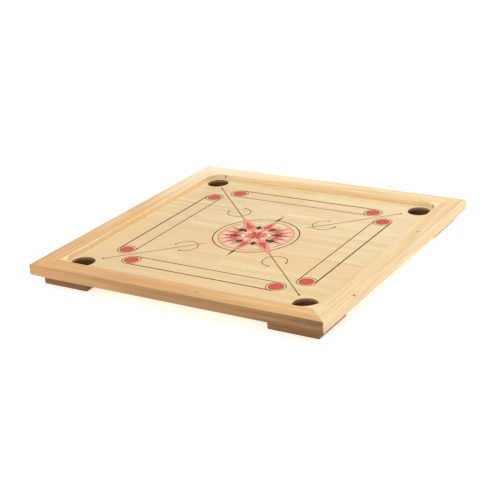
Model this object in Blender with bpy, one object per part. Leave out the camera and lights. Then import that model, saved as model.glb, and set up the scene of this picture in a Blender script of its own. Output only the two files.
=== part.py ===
"""Carrom board: a square hardwood frame round a recessed plywood playing panel, standing on
four corner blocks that are bored out as the pockets.

Metres, +Z up. The origin is at the middle of the board on the surface that it stands on.
The front rail is at -Y and the right rail at +X.
"""

import math

import bmesh
import bpy
from mathutils import Matrix, Vector

# Driving dimensions
SIDE = 0.600  # outside of the frame, both ways
RAIL_THICK = 0.020
RAIL_WIDTH = 0.041  # outer face to the inner face that the pieces bounce off
PLAY_DEPTH = 0.010  # rail top down to the playing surface
PANEL_THICK = 0.006
GROOVE_DEPTH = 0.007  # how far the panel's groove runs into the rails
BLOCK_SIDE = 0.096
BLOCK_HIGH = 0.0215  # table to the underside of the frame
BLOCK_INSET = 0.018  # frame's outer face to the block
POCKET_AT = 0.230  # pocket centre, measured from the middle of the board along X and along Y
POCKET_R = 0.0222
BORE_R = 0.0230  # bore in the block, a little wider than the hole in the panel
FLOOR_R = 0.0282
FLOOR_THICK = 0.0030
FLOOR_LEDGE = 0.0040  # table to the ledge that the pocket floor is glued to
BRACE_WIDE = 0.040
BRACE_LOW = 0.0125  # table to the underside of the braces
BRACE_LAP = 0.0165  # how far a brace runs under a rail
TONGUE = Vector((0.028, 0.014, 0.003))  # across the mitre, along the mitre, thick
TONGUE_LOW = 0.0342
TONGUE_AT = 0.280
SCREW_R = 0.0020
SCREW_HEAD_R = 0.0040
SCREW_HEAD_HIGH = 0.0028
SCREW_CROSS = Vector((0.0046, 0.0010, 0.0016))
SCREW_SUNK = 0.0010  # screw head above the block's underside
SCREW_POINT = 0.0040  # length of the tapered point
SCREW_ROOM = 0.00045  # slack round the shank and the head
SCREW_OVER = 0.0006  # how far the hole runs past either end of the screw
SINK_CUT = 0.0025  # how far a countersink's cutter runs below the head
BLOCK_SCREW_LONG = 0.034
BRACE_SCREW_LONG = 0.018
EDGE_ROUND = 0.0025  # rounding of the frame's top edges and upright corners
EDGE_EASE = 0.0010  # small chamfer where the maker only breaks the edge
GAP = 0.0003  # between touching pieces
ROOM = 0.0005  # slack for the panel to swell, and round the blocks' shoulders

# Worked out from them
HALF = SIDE / 2
OPENING = HALF - RAIL_WIDTH
OPENING_R = OPENING - POCKET_AT  # inside corners, concentric with the pockets
FRAME_LOW = BLOCK_HIGH
FRAME_TOP = FRAME_LOW + RAIL_THICK
PLAY_Z = FRAME_TOP - PLAY_DEPTH
PANEL_LOW = PLAY_Z - PANEL_THICK
GROOVE_HALF = OPENING + GROOVE_DEPTH
PANEL_HALF = GROOVE_HALF - ROOM
SHOULDER_Z = FRAME_LOW - GAP  # highest wood of a block or brace under a rail
UNDER_PANEL = PANEL_LOW - GAP
BLOCK_OUT = HALF - BLOCK_INSET
BLOCK_MID = BLOCK_OUT - BLOCK_SIDE / 2
SCREW_LINE = (OPENING + BLOCK_OUT) / 2  # middle of the strip where block and rail overlap
BLOCK_SCREW_ALONG = 0.212
BRACE_SCREW_OFF = 0.011
CUT = 0.010  # how far a cutter runs past the faces that it opens
ROUND_SIDES = 48
CORNER_STEPS = 10  # sides of a rounded corner in plan
EDGE_STEPS = 3  # sides of a rounded edge
SHARP_EDGE = math.radians(40)  # steeper edges of the frame are rounded
SMOOTH_ANGLE = math.radians(30)
SCREW_SIDES = 16

CORNERS = {
    "front_left": (-1, -1),
    "front_right": (1, -1),
    "back_right": (1, 1),
    "back_left": (-1, 1),
}
SIDES = ("front", "right", "back", "left")  # each is the one before turned a quarter round


def clear_scene():
    for obj in list(bpy.data.objects):
        bpy.data.objects.remove(obj, do_unlink=True)


def new_collection(name):
    made = bpy.data.collections.new(name)
    bpy.context.scene.collection.children.link(made)
    return made


def wood(name, colour, roughness):
    made = bpy.data.materials.new(name)
    made.use_nodes = True
    shader = made.node_tree.nodes["Principled BSDF"]
    shader.inputs["Base Color"].default_value = (*colour, 1)
    shader.inputs["Roughness"].default_value = roughness
    return made


def steel(name):
    made = wood(name, (0.62, 0.62, 0.60), 0.32)
    made.node_tree.nodes["Principled BSDF"].inputs["Metallic"].default_value = 1
    return made


def put(name, mesh, collection, material=None):
    obj = bpy.data.objects.new(name, mesh)
    collection.objects.link(obj)
    if material:
        mesh.materials.append(material)
    return obj


def mesh_from(shape, name):
    bmesh.ops.recalc_face_normals(shape, faces=shape.faces)
    mesh = bpy.data.meshes.new(name)
    shape.to_mesh(mesh)
    shape.free()
    return mesh


def part(name, mesh, material):
    return put(name, mesh, parts, material)


def cutter(name, mesh):
    obj = put(name, mesh, cutters)
    obj.hide_render = True
    obj.display_type = "WIRE"
    return obj


def boolean(obj, other, operation="DIFFERENCE"):
    step = obj.modifiers.new(f"{operation.lower()}_{other.name}", "BOOLEAN")
    step.operation = operation
    step.solver = "EXACT"
    step.object = other


def box(low, high, ease=0.0, eased=None):
    """A bmesh box between two corners. eased picks the edges to chamfer, given an edge's middle."""
    low, high = Vector(low), Vector(high)
    shape = bmesh.new()
    bmesh.ops.create_cube(shape, size=1)
    bmesh.ops.scale(shape, vec=high - low, verts=shape.verts)
    bmesh.ops.translate(shape, vec=(low + high) / 2, verts=shape.verts)
    if ease:
        chosen = [e for e in shape.edges if eased((e.verts[0].co + e.verts[1].co) / 2)]
        bmesh.ops.bevel(
            shape, geom=chosen, offset=ease, segments=1, profile=0.5, affect="EDGES", material=-1
        )
    return shape


def cylinder(radius, low, high, centre=(0, 0), sides=ROUND_SIDES):
    shape = bmesh.new()
    place = Matrix.Translation((*centre, (low + high) / 2))
    bmesh.ops.create_cone(
        shape,
        cap_ends=True,
        segments=sides,
        radius1=radius,
        radius2=radius,
        depth=high - low,
        matrix=place,
    )
    return shape


def rounded_square(half, radius, low, high):
    """An upright prism whose plan is a square with round corners."""
    shape = bmesh.new()
    bmesh.ops.create_grid(shape, x_segments=1, y_segments=1, size=half)
    bmesh.ops.translate(shape, vec=(0, 0, low), verts=shape.verts)
    bmesh.ops.bevel(
        shape,
        geom=shape.verts[:],
        offset=radius,
        segments=CORNER_STEPS,
        profile=0.5,
        affect="VERTICES",
        material=-1,
    )
    raised = bmesh.ops.extrude_face_region(shape, geom=shape.faces[:])["geom"]
    upper = [v for v in raised if isinstance(v, bmesh.types.BMVert)]
    bmesh.ops.translate(shape, vec=(0, 0, high - low), verts=upper)
    return shape


def turned(mesh, quarters):
    """A copy of the mesh, turned a number of quarter turns about the board's middle."""
    copy = mesh.copy()
    copy.transform(Matrix.Rotation(math.radians(90 * quarters), 4, "Z"))
    return copy


def evaluated(obj):
    graph = bpy.context.evaluated_depsgraph_get()
    return bpy.data.meshes.new_from_object(obj.evaluated_get(graph))


clear_scene()
parts = new_collection("carrom_board")
cutters = new_collection("cutters")

RAIL_WOOD = wood("rail_hardwood", (0.72, 0.47, 0.22), 0.42)
PANEL_WOOD = wood("panel_birch", (0.81, 0.63, 0.40), 0.36)
BLOCK_WOOD = wood("block_hardwood", (0.38, 0.20, 0.08), 0.55)
FLOOR_WOOD = wood("floor_plywood", (0.45, 0.28, 0.14), 0.65)
BRACE_WOOD = wood("brace_softwood", (0.70, 0.52, 0.31), 0.60)
SCREW_STEEL = steel("screw_steel")

# Cutters that several pieces share
opening = cutter(
    "opening_cutter",
    mesh_from(
        rounded_square(OPENING, OPENING_R, FRAME_LOW - CUT, FRAME_TOP + CUT), "opening_cutter"
    ),
)
groove = cutter(
    "groove_cutter",
    mesh_from(
        box(
            (-GROOVE_HALF, -GROOVE_HALF, PANEL_LOW - GAP),
            (GROOVE_HALF, GROOVE_HALF, PLAY_Z + GAP),
        ),
        "groove_cutter",
    ),
)
# The room that the frame takes up, above the shoulders of the blocks and the braces' ends
frame_room = cutter(
    "frame_room",
    mesh_from(box((-HALF, -HALF, SHOULDER_Z), (HALF, HALF, FRAME_TOP)), "frame_room"),
)
shoulder_plan = cutter(
    "shoulder_plan",
    mesh_from(
        rounded_square(OPENING - ROOM, OPENING_R - ROOM, SHOULDER_Z - CUT, FRAME_TOP + CUT),
        "shoulder_plan",
    ),
)
boolean(frame_room, shoulder_plan)


def frame_blank():
    """The whole frame with its round inside corners and rounded edges, before it is cut apart."""
    ring = cutter(
        "frame_ring",
        mesh_from(box((-HALF, -HALF, FRAME_LOW), (HALF, HALF, FRAME_TOP)), "frame_ring"),
    )
    boolean(ring, opening)
    shape = bmesh.new()
    bpy.context.view_layer.update()
    shape.from_mesh(evaluated(ring))
    bmesh.ops.dissolve_limit(
        shape, angle_limit=math.radians(1), verts=shape.verts, edges=shape.edges
    )
    rounded = []
    for edge in shape.edges:
        ends = [v.co for v in edge.verts]
        at_top = all(abs(v.z - FRAME_TOP) < GAP for v in ends)
        at_corner = all(min(abs(v.x), abs(v.y)) > HALF - GAP for v in ends)
        if (at_top or at_corner) and edge.calc_face_angle() > SHARP_EDGE:
            rounded.append(edge)
    bmesh.ops.bevel(
        shape,
        geom=rounded,
        offset=EDGE_ROUND,
        segments=EDGE_STEPS,
        profile=0.5,
        affect="EDGES",
        material=-1,
    )
    bpy.data.objects.remove(ring, do_unlink=True)
    return mesh_from(shape, "frame_blank")


def tongue_box(slack):
    half = TONGUE / 2 + Vector((slack, slack, slack))
    middle = TONGUE_LOW + TONGUE.z / 2
    shape = box((-half.x, -half.y, middle - half.z), (half.x, half.y, middle + half.z))
    bmesh.ops.rotate(shape, matrix=Matrix.Rotation(math.radians(-45), 3, "Z"), verts=shape.verts)
    return shape


def corner_place(name, distance):
    sx, sy = CORNERS[name]
    return sx * distance, sy * distance


def make_tongues():
    """A loose plywood tongue glued across each mitre, with its slot in the two rails."""
    slots = []
    for name, (sx, sy) in CORNERS.items():
        spin = Matrix.Rotation(0 if sx * sy > 0 else math.radians(90), 4, "Z")
        move = Matrix.Translation((*corner_place(name, TONGUE_AT), 0))
        piece = mesh_from(tongue_box(0), f"mitre_tongue_{name}")
        piece.transform(move @ spin)
        part(f"mitre_tongue_{name}", piece, FLOOR_WOOD)
        hole = mesh_from(tongue_box(GAP), f"tongue_slot_{name}")
        hole.transform(move @ spin)
        slots.append(cutter(f"tongue_slot_{name}", hole))
    return slots


def screw_mesh(name, long):
    """The screw's outline turned round its axis: head, cone, shank and point in one closed body."""
    outline = (
        (0, 0),
        (SCREW_HEAD_R, 0),
        (SCREW_R, SCREW_HEAD_HIGH),
        (SCREW_R, long - SCREW_POINT),
        (0, long),
    )
    shape = bmesh.new()
    rim = [shape.verts.new((r, 0, z)) for r, z in outline]
    edges = [shape.edges.new(pair) for pair in zip(rim, rim[1:])]
    bmesh.ops.spin(
        shape,
        geom=rim + edges,
        cent=(0, 0, 0),
        axis=(0, 0, 1),
        angle=math.tau,
        steps=SCREW_SIDES,
        use_merge=True,
    )
    bmesh.ops.remove_doubles(shape, verts=shape.verts, dist=1e-6)
    return mesh_from(shape, name)


def screw_places():
    """Name, (x, y, z of the head) and length of each screw."""
    found = []
    for name, (sx, sy) in CORNERS.items():
        for which, (x, y) in {
            "side": (SCREW_LINE, BLOCK_SCREW_ALONG),
            "end": (BLOCK_SCREW_ALONG, SCREW_LINE),
        }.items():
            place = (sx * x, sy * y, SCREW_SUNK)
            found.append((f"block_screw_{name}_{which}", place, BLOCK_SCREW_LONG))
    for quarter, side in enumerate(SIDES):
        for which, off in (("a", -BRACE_SCREW_OFF), ("b", BRACE_SCREW_OFF)):
            place = Matrix.Rotation(math.radians(90 * quarter), 3, "Z") @ Vector(
                (off, -SCREW_LINE, BRACE_LOW + GAP)
            )
            found.append((f"brace_screw_{side}_{which}", tuple(place), BRACE_SCREW_LONG))
    return found


def make_screws():
    """The screws, and for each the hole that it leaves in the wood."""
    holes = []
    for name, place, long in screw_places():
        screw = part(name, screw_mesh(name, long), SCREW_STEEL)
        screw.location = place
        for turn in (0, 90):
            slot = SCREW_CROSS / 2
            blade = cutter(
                f"{name}_recess_{turn}",
                mesh_from(
                    box((-slot.x, -slot.y, -CUT), (slot.x, slot.y, SCREW_CROSS.z)),
                    f"{name}_recess",
                ),
            )
            blade.location = place
            blade.rotation_euler.z = math.radians(45 + turn)
            boolean(screw, blade)
        hole = bmesh.new()
        bmesh.ops.create_cone(
            hole,
            cap_ends=True,
            segments=SCREW_SIDES,
            radius1=SCREW_R + SCREW_ROOM,
            radius2=SCREW_R + SCREW_ROOM,
            depth=long + 2 * SCREW_OVER,
            matrix=Matrix.Translation((0, 0, long / 2)),
        )
        shaft = cutter(f"{name}_hole", mesh_from(hole, f"{name}_hole"))
        sink = bmesh.new()
        sink_low, sink_high = -SINK_CUT, SCREW_HEAD_HIGH + GAP
        flare = (SCREW_HEAD_R - SCREW_R) / SCREW_HEAD_HIGH
        bmesh.ops.create_cone(
            sink,
            cap_ends=True,
            segments=SCREW_SIDES,
            radius1=SCREW_HEAD_R + SCREW_ROOM - flare * sink_low,
            radius2=SCREW_R + GAP,
            depth=sink_high - sink_low,
            matrix=Matrix.Translation((0, 0, (sink_high + sink_low) / 2)),
        )
        countersink = cutter(f"{name}_sink", mesh_from(sink, f"{name}_sink"))
        shaft.location = place
        countersink.location = place
        holes.append((Vector(place), shaft, countersink))
    return holes


def make_rails(slots, holes):
    """Four mitred lengths of the one frame, grooved for the panel."""
    blank = frame_blank()
    far = SIDE  # the sector cutter is a big square standing on its corner
    mitre = GAP / math.sqrt(2)
    for quarter, side in enumerate(SIDES):
        shape = box((-far / 2, -far / 2, FRAME_LOW - CUT), (far / 2, far / 2, FRAME_TOP + CUT))
        bmesh.ops.rotate(shape, matrix=Matrix.Rotation(math.radians(45), 3, "Z"), verts=shape.verts)
        bmesh.ops.translate(shape, vec=(0, -far / math.sqrt(2) - mitre, 0), verts=shape.verts)
        sector = cutter(f"sector_{side}", turned(mesh_from(shape, f"sector_{side}"), quarter))
        rail = part(f"rail_{side}", blank.copy(), RAIL_WOOD)
        boolean(rail, sector, "INTERSECT")
        boolean(rail, groove)
        out = Matrix.Rotation(math.radians(90 * quarter), 3, "Z") @ Vector((0, -1, 0))
        for (name, (sx, sy)), slot in zip(CORNERS.items(), slots):
            if Vector((sx, sy, 0)).dot(out) > 0:
                boolean(rail, slot)
        for place, shaft, _ in holes:
            if place.dot(out) > OPENING:
                boolean(rail, shaft)


def make_panel():
    """The playing panel, with the four pocket holes."""
    sheet = box((-PANEL_HALF, -PANEL_HALF, PANEL_LOW), (PANEL_HALF, PANEL_HALF, PLAY_Z))
    panel = part("play_panel", mesh_from(sheet, "play_panel"), PANEL_WOOD)
    for name in CORNERS:
        middle = corner_place(name, POCKET_AT)
        hole = cylinder(POCKET_R, PANEL_LOW - CUT, PLAY_Z + CUT, middle)
        boolean(panel, cutter(f"panel_hole_{name}", mesh_from(hole, f"panel_hole_{name}")))


def make_blocks(holes):
    """Corner blocks: foot, pocket cup and mitre stiffener in one, each with its floor disc."""
    for name, (sx, sy) in CORNERS.items():
        x, y = corner_place(name, BLOCK_MID)
        reach = BLOCK_SIDE / 2
        shape = box(
            (x - reach, y - reach, 0),
            (x + reach, y + reach, UNDER_PANEL),
            ease=EDGE_EASE,
            eased=lambda middle: middle.z < UNDER_PANEL - GAP,
        )
        block = part(f"corner_block_{name}", mesh_from(shape, f"corner_block_{name}"), BLOCK_WOOD)
        boolean(block, frame_room)
        middle = corner_place(name, POCKET_AT)
        bore = cylinder(BORE_R, -CUT, UNDER_PANEL + CUT, middle)
        boolean(block, cutter(f"bore_{name}", mesh_from(bore, f"bore_{name}")))
        seat = cylinder(FLOOR_R + GAP, -CUT, FLOOR_LEDGE, middle)
        boolean(block, cutter(f"floor_seat_{name}", mesh_from(seat, f"floor_seat_{name}")))
        for place, shaft, sink in holes:
            if max(abs(place.x - x), abs(place.y - y)) < reach:
                boolean(block, shaft)
                boolean(block, sink)
        disc = cylinder(
            FLOOR_R, FLOOR_LEDGE - GAP - FLOOR_THICK, FLOOR_LEDGE - GAP, middle
        )
        part(f"pocket_floor_{name}", mesh_from(disc, f"pocket_floor_{name}"), FLOOR_WOOD)


def make_braces(holes):
    """Two battens under the panel, half lapped where they cross and lapped under the rails."""
    reach = OPENING + BRACE_LAP
    half = BRACE_WIDE / 2
    lap_z = (BRACE_LOW + UNDER_PANEL) / 2
    for name, quarter in (("brace_across", 0), ("brace_lengthways", 1)):
        shape = box(
            (-reach, -half, BRACE_LOW),
            (reach, half, UNDER_PANEL),
            ease=EDGE_EASE,
            eased=lambda middle: middle.z < BRACE_LOW + GAP,
        )
        brace = part(name, turned(mesh_from(shape, name), quarter), BRACE_WOOD)
        boolean(brace, frame_room)
        low, high = (
            (lap_z - GAP / 2, UNDER_PANEL + CUT) if quarter == 0 else (BRACE_LOW - CUT, lap_z + GAP / 2)
        )
        lap = box((-half - GAP, -half - GAP, low), (half + GAP, half + GAP, high))
        boolean(brace, cutter(f"{name}_lap", mesh_from(lap, f"{name}_lap")))
        for place, shaft, sink in holes:
            along = abs(place.y) if quarter else abs(place.x)
            across = abs(place.x) if quarter else abs(place.y)
            if across < half and along > OPENING:
                boolean(brace, shaft)
                boolean(brace, sink)


tongue_slots = make_tongues()
screw_holes = make_screws()
make_rails(tongue_slots, screw_holes)
make_panel()
make_blocks(screw_holes)
make_braces(screw_holes)

for obj in parts.objects:
    obj.data.shade_smooth()
    obj.data.set_sharp_from_angle(angle=SMOOTH_ANGLE)
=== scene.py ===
# %% [markdown]
# # A carrom board
# A carrom board is a shallow square tray. Four mitred rails hold a thin playing panel, and four
# bored blocks under the corners are both the feet and the pockets. The solids of the design come
# in as a fixed frame. This lesson gives them their finish: rounded rails, wood that looks sawn and
# lacquered, and the lines and the star that are screen printed on the panel.

# %% Load the frame
import math

import bmesh
import bpy
from mathutils import Matrix, Vector


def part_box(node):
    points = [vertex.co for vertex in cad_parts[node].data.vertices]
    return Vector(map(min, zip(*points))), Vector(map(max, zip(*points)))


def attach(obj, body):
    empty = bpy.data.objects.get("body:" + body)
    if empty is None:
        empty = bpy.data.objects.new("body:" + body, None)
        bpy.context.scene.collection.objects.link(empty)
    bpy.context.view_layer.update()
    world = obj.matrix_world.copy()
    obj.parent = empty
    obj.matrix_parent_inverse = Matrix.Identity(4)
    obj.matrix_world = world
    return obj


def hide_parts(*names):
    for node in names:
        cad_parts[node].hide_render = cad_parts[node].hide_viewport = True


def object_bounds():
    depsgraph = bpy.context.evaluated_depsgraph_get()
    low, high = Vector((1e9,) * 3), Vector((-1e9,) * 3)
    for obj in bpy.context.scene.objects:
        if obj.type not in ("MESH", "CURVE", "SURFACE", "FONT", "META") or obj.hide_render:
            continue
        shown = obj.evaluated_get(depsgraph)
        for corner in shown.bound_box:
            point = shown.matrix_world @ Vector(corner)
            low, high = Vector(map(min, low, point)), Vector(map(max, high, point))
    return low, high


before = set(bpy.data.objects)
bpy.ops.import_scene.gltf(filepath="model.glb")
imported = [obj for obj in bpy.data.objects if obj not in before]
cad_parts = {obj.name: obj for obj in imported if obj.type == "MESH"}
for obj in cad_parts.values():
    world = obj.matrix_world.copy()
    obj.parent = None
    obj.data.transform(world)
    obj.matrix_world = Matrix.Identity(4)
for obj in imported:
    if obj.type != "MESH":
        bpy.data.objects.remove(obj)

CAD_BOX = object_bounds()
print("nodes in the frame:", len(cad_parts))

# %% [markdown]
# ## Sizes
# Every size that the design already holds is read from it, so the new surfaces land exactly where
# the solids are. Only what a box can't tell is written here, such as the radius of a rounded edge.

# %% Read the main sizes
MM = 0.001
HALF = CAD_BOX[1].x
SIDE = 2 * HALF
TOP_Z = CAD_BOX[1].z
FRAME_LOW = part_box("rail_front")[0].z
PANEL_LOW, PLAY_Z = (corner.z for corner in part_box("play_panel"))
PANEL_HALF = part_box("play_panel")[1].x
floor_low, floor_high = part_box("pocket_floor_back_right")
POCKET_AT = (floor_low.x + floor_high.x) / 2
RAIL_WIDTH = 41 * MM
POCKET_R = 22.2 * MM
OPENING = HALF - RAIL_WIDTH
GAP = 0.3 * MM
print(f"board {SIDE:.3f} m, play surface at {PLAY_Z:.4f} m, pockets at {POCKET_AT:.3f} m")

# %% Names of the sides and corners
SIDES = ("front", "right", "back", "left")  # each is the one before, turned a quarter round
CORNERS = {"front_left": (-1, -1), "front_right": (1, -1), "back_right": (1, 1), "back_left": (-1, 1)}
Z_AXIS = (0, 0, 1)
QUARTER = math.radians(90)


def turn(angle):
    """A turn about the upright axis through the middle of the board."""
    return Matrix.Rotation(angle, 4, "Z")

# %% [markdown]
# ## Node helpers
# A material is a small program. A few helpers keep it readable: one adds a node and wires or sets
# its inputs in the same call, one starts a node group, which is a function for shaders, and one
# places a group in a material. The rest are the steps that every finish uses.

# %% Add a node, start a group
def add(tree, kind, inputs=None, **settings):
    """A new shader node. inputs maps a socket's name or number to a value or to another socket."""
    made = tree.nodes.new("ShaderNode" + kind)
    for name, value in settings.items():
        setattr(made, name, value)
    for name, value in (inputs or {}).items():
        if isinstance(value, bpy.types.NodeSocket):
            tree.links.new(value, made.inputs[name])
        else:
            made.inputs[name].default_value = value
    return made


def new_group(name, inputs, outputs):
    """A node group, its input sockets by name, and a function that wires an output."""
    group = bpy.data.node_groups.new(name, "ShaderNodeTree")
    for label, (kind, value) in inputs.items():
        socket = group.interface.new_socket(label, in_out="INPUT", socket_type="NodeSocket" + kind)
        if value is not None:
            socket.default_value = value
    for label, kind in outputs.items():
        group.interface.new_socket(label, in_out="OUTPUT", socket_type="NodeSocket" + kind)
    start = group.nodes.new("NodeGroupInput").outputs
    end = group.nodes.new("NodeGroupOutput").inputs
    return group, start, lambda label, socket: group.links.new(socket, end[label])


def use(tree, group, inputs):
    """Places a group in a tree and returns its outputs."""
    return add(tree, "Group", inputs, node_tree=group).outputs


# %% Steps that every finish uses
def ramp(tree, value, low, high, to_low=0.0, to_high=1.0):
    """value, spread from the range low..high to the range to_low..to_high, and held inside it."""
    inputs = {"Value": value, "From Min": low, "From Max": high, "To Min": to_low, "To Max": to_high}
    return add(tree, "MapRange", inputs, clamp=True).outputs[0]


def multiply(tree, first, second):
    return add(tree, "Math", {0: first, 1: second}, operation="MULTIPLY").outputs[0]


def blend(tree, mask, first, second):
    """The first colour where the mask is 0, and the second where it is 1."""
    inputs = {0: mask, 6: first, 7: second}
    return add(tree, "Mix", inputs, data_type="RGBA").outputs[2]


def overlay(tree, base, mask, share, colour):
    """The base with a colour laid over it in the mask, up to that share."""
    return blend(tree, ramp(tree, mask, 0, 1, 0, share), base, colour)


def paint(red, green, blue):
    """A screen colour, 0 to 255, as the linear colour that a shader wants."""
    def linear(value):
        share = value / 255
        return share / 12.92 if share <= 0.04045 else ((share + 0.055) / 1.055) ** 2.4
    return (linear(red), linear(green), linear(blue), 1.0)


def darker(colour, share):
    return tuple(share * value for value in colour[:3]) + (1,)

# %% [markdown]
# ## How wood is drawn
# Sawn wood shows four things at four sizes: broad bands of the year rings, fine streaks, short dark
# pores, and slow drifts between yellow and pink. Each is noise that is squeezed across the grain and
# stretched along it. The group's vector has X along the grain, and a seed moves the pattern so that
# no two pieces were cut from the same place.

# %% The wood group
# Each part of the figure: scale along and across the grain, detail, roughness, and the range of
# the noise that is spread over 0 to 1.
FIGURE = {
    "Bands": ((2.6, 52, 40), 3, 0.55, (0.36, 0.64)),
    "Streaks": ((6, 190, 150), 5, 0.68, (0.34, 0.66)),
    "Pores": ((110, 1500, 1200), 1, 0.5, (0.66, 0.76)),
    "Drift": ((7, 16, 16), 2, 0.5, (0.34, 0.66)),
}
BAND_WAVER = 0.6


def make_wood_group():
    inputs = {"Vector": ("Vector", None), "Seed": ("Float", 0.0)}
    group, start, out = new_group("sawn_wood", inputs, dict.fromkeys(FIGURE, "Float"))
    shift = add(group, "CombineXYZ", {0: start["Seed"], 1: start["Seed"], 2: start["Seed"]})
    place = add(group, "VectorMath", {0: start["Vector"], 1: shift.outputs[0]}, operation="ADD")
    for label, (scale, detail, roughness, kept) in FIGURE.items():
        mapped = add(group, "Mapping", {"Vector": place.outputs[0], "Scale": scale})
        values = {"Vector": mapped.outputs[0], "Scale": 1.0, "Detail": detail, "Roughness": roughness,
                  "Distortion": BAND_WAVER if label == "Bands" else 0.0}
        out(label, ramp(group, add(group, "TexNoise", values).outputs["Fac"], *kept))
    return group


SAWN_WOOD = make_wood_group()
print("group", SAWN_WOOD.name, "made")

# %% [markdown]
# ## Worn edges
# Hands rub a board's rounded edges first, so they end up a little paler. The helper for meshes
# stores how far each vertex leans between a wall and the top, and this group turns that number into
# a mask that is broken up by noise, because wear is never even.

# %% The wear group
def make_wear_group():
    group, start, out = new_group(
        "edge_wear", {"Vector": ("Vector", None), "Amount": ("Float", 0.6)}, {"Mask": "Float"}
    )
    lean = add(group, "Attribute", attribute_name="lean").outputs["Fac"]
    rough = add(group, "TexNoise", {"Vector": start["Vector"], "Scale": 60.0, "Detail": 4.0})
    patches = ramp(group, rough.outputs["Fac"], 0.35, 0.65, 0.35, 1.0)
    out("Mask", multiply(group, multiply(group, lean, patches), start["Amount"]))
    return group


EDGE_WEAR = make_wear_group()

# %% [markdown]
# ## Pin knots
# A pin knot is a dark speck in the wood, with a softer halo round it. The group measures how far a
# point is from the speck, in parts of the speck's size along each axis, and turns that into a mask.
# The halo is the same group again with a larger size.

# %% The speck group
def make_speck_group():
    inputs = {"Vector": ("Vector", None), "Centre": ("Vector", None), "Size": ("Vector", (1, 1, 1))}
    group, start, out = new_group("pin_knot", inputs, {"Mask": "Float"})
    away = add(group, "VectorMath", {0: start["Vector"], 1: start["Centre"]}, operation="SUBTRACT")
    scaled = add(group, "VectorMath", {0: away.outputs[0], 1: start["Size"]}, operation="DIVIDE")
    far = add(group, "VectorMath", {0: scaled.outputs[0]}, operation="LENGTH").outputs["Value"]
    out("Mask", ramp(group, far, 0.45, 1.0, 1.0, 0.0))
    return group


PIN_KNOT = make_speck_group()

# %% [markdown]
# ## Dark pockets
# The inside of a pocket is darkened with painted shade, from just under the rim and more with
# depth. Folding the board onto one corner with absolute values lets one distance serve all four
# pockets.

# %% The pocket group
SHADE_FROM, SHADE_FULL = 0.3 * MM, 1.4 * MM  # depth under the playing surface
SHADE_DEEP = 12 * MM
SHADE_NEAR = 0.7  # share of the painted shade that is there already just under the rim


def make_pocket_shade_group():
    group, start, out = new_group("pocket_shade", {"Vector": ("Vector", None)}, {"Mask": "Float"})
    height = add(group, "SeparateXYZ", {0: start["Vector"]}).outputs["Z"]
    folded = add(group, "VectorMath", {0: start["Vector"]}, operation="ABSOLUTE").outputs[0]
    flat = add(group, "VectorMath", {0: folded, 1: (1, 1, 0)}, operation="MULTIPLY").outputs[0]
    centre = (POCKET_AT, POCKET_AT, 0)
    away = add(group, "VectorMath", {0: flat, 1: centre}, operation="DISTANCE").outputs["Value"]
    near = ramp(group, away, POCKET_R + 0.6 * MM, POCKET_R + 1.4 * MM, 1, 0)
    rim = ramp(group, height, PLAY_Z - SHADE_FULL, PLAY_Z - SHADE_FROM, 1, 0)
    deep = ramp(group, height, PLAY_Z - SHADE_DEEP, PLAY_Z - SHADE_FULL, 1, SHADE_NEAR)
    out("Mask", multiply(group, multiply(group, near, deep), rim))
    return group


POCKET_SHADE = make_pocket_shade_group()

# %% [markdown]
# ## Walls that the pieces bounce off
# The inner walls of the rails are painted paler and a warmer gold, which is painted light. The
# same fold as before finds them: the larger of the two folded distances is the distance from the
# middle towards the nearest rail.

# %% The wall group
def make_wall_light_group():
    group, start, out = new_group("painted_wall_light", {"Vector": ("Vector", None)}, {"Mask": "Float"})
    folded = add(group, "VectorMath", {0: start["Vector"]}, operation="ABSOLUTE").outputs[0]
    parts = add(group, "SeparateXYZ", {0: folded}).outputs
    out_to = add(group, "Math", {0: parts["X"], 1: parts["Y"]}, operation="MAXIMUM").outputs[0]
    out("Mask", ramp(group, out_to, OPENING + 0.4 * MM, OPENING + 1.4 * MM, 1, 0))
    return group


PAINTED_WALL_LIGHT = make_wall_light_group()

# %% [markdown]
# ## Glued strips
# The face of the playing panel is laid from strips about 60 mm wide, each jointed from shorter
# lengths. A brick pattern is exactly that layout. Its random grey per brick becomes the tint of a
# strip and also its seed, so that the grain stops at each joint as it does on real boards.

# %% The strip group
def make_strip_group():
    inputs = {"Vector": ("Vector", None), "Width": ("Float", 0.06), "Length": ("Float", 0.4)}
    group, start, out = new_group("glued_strips", inputs, {"Tint": "Float", "Joint": "Float"})
    values = {"Vector": start["Vector"], "Color1": (0, 0, 0, 1), "Color2": (1, 1, 1, 1),
              "Mortar": (0.5, 0.5, 0.5, 1), "Scale": 1.0, "Mortar Size": 0.25 * MM, "Mortar Smooth": 0.4,
              "Bias": 0.0, "Brick Width": start["Length"], "Row Height": start["Width"]}
    bricks = add(group, "TexBrick", values, offset=0.37, offset_frequency=2, squash=1.0)
    out("Tint", add(group, "SeparateColor", {"Color": bricks.outputs["Color"]}).outputs[0])
    out("Joint", bricks.outputs["Fac"])
    return group


GLUED_STRIPS = make_strip_group()
print("groups:", [g.name for g in bpy.data.node_groups])

# %% [markdown]
# ## Surfaces and grain
# The shader itself stays in each material, and what is the same all over a surface, such as the
# weight of its coat, is set on the shader's own socket. The grain follows a piece's own coordinates,
# turned so that X runs along the wood.

# %% A surface and its grain
def surface(name, roughness=0.4, metallic=0.0, coat=0.0, coat_roughness=0.2):
    """A new material, its node tree and its Principled shader."""
    made = bpy.data.materials.new(name)
    made.use_nodes = True
    shader = made.node_tree.nodes["Principled BSDF"]
    shader.inputs["Roughness"].default_value = roughness
    shader.inputs["Metallic"].default_value = metallic
    shader.inputs["Coat Weight"].default_value = coat
    shader.inputs["Coat Roughness"].default_value = coat_roughness
    return made, made.node_tree, shader


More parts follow.
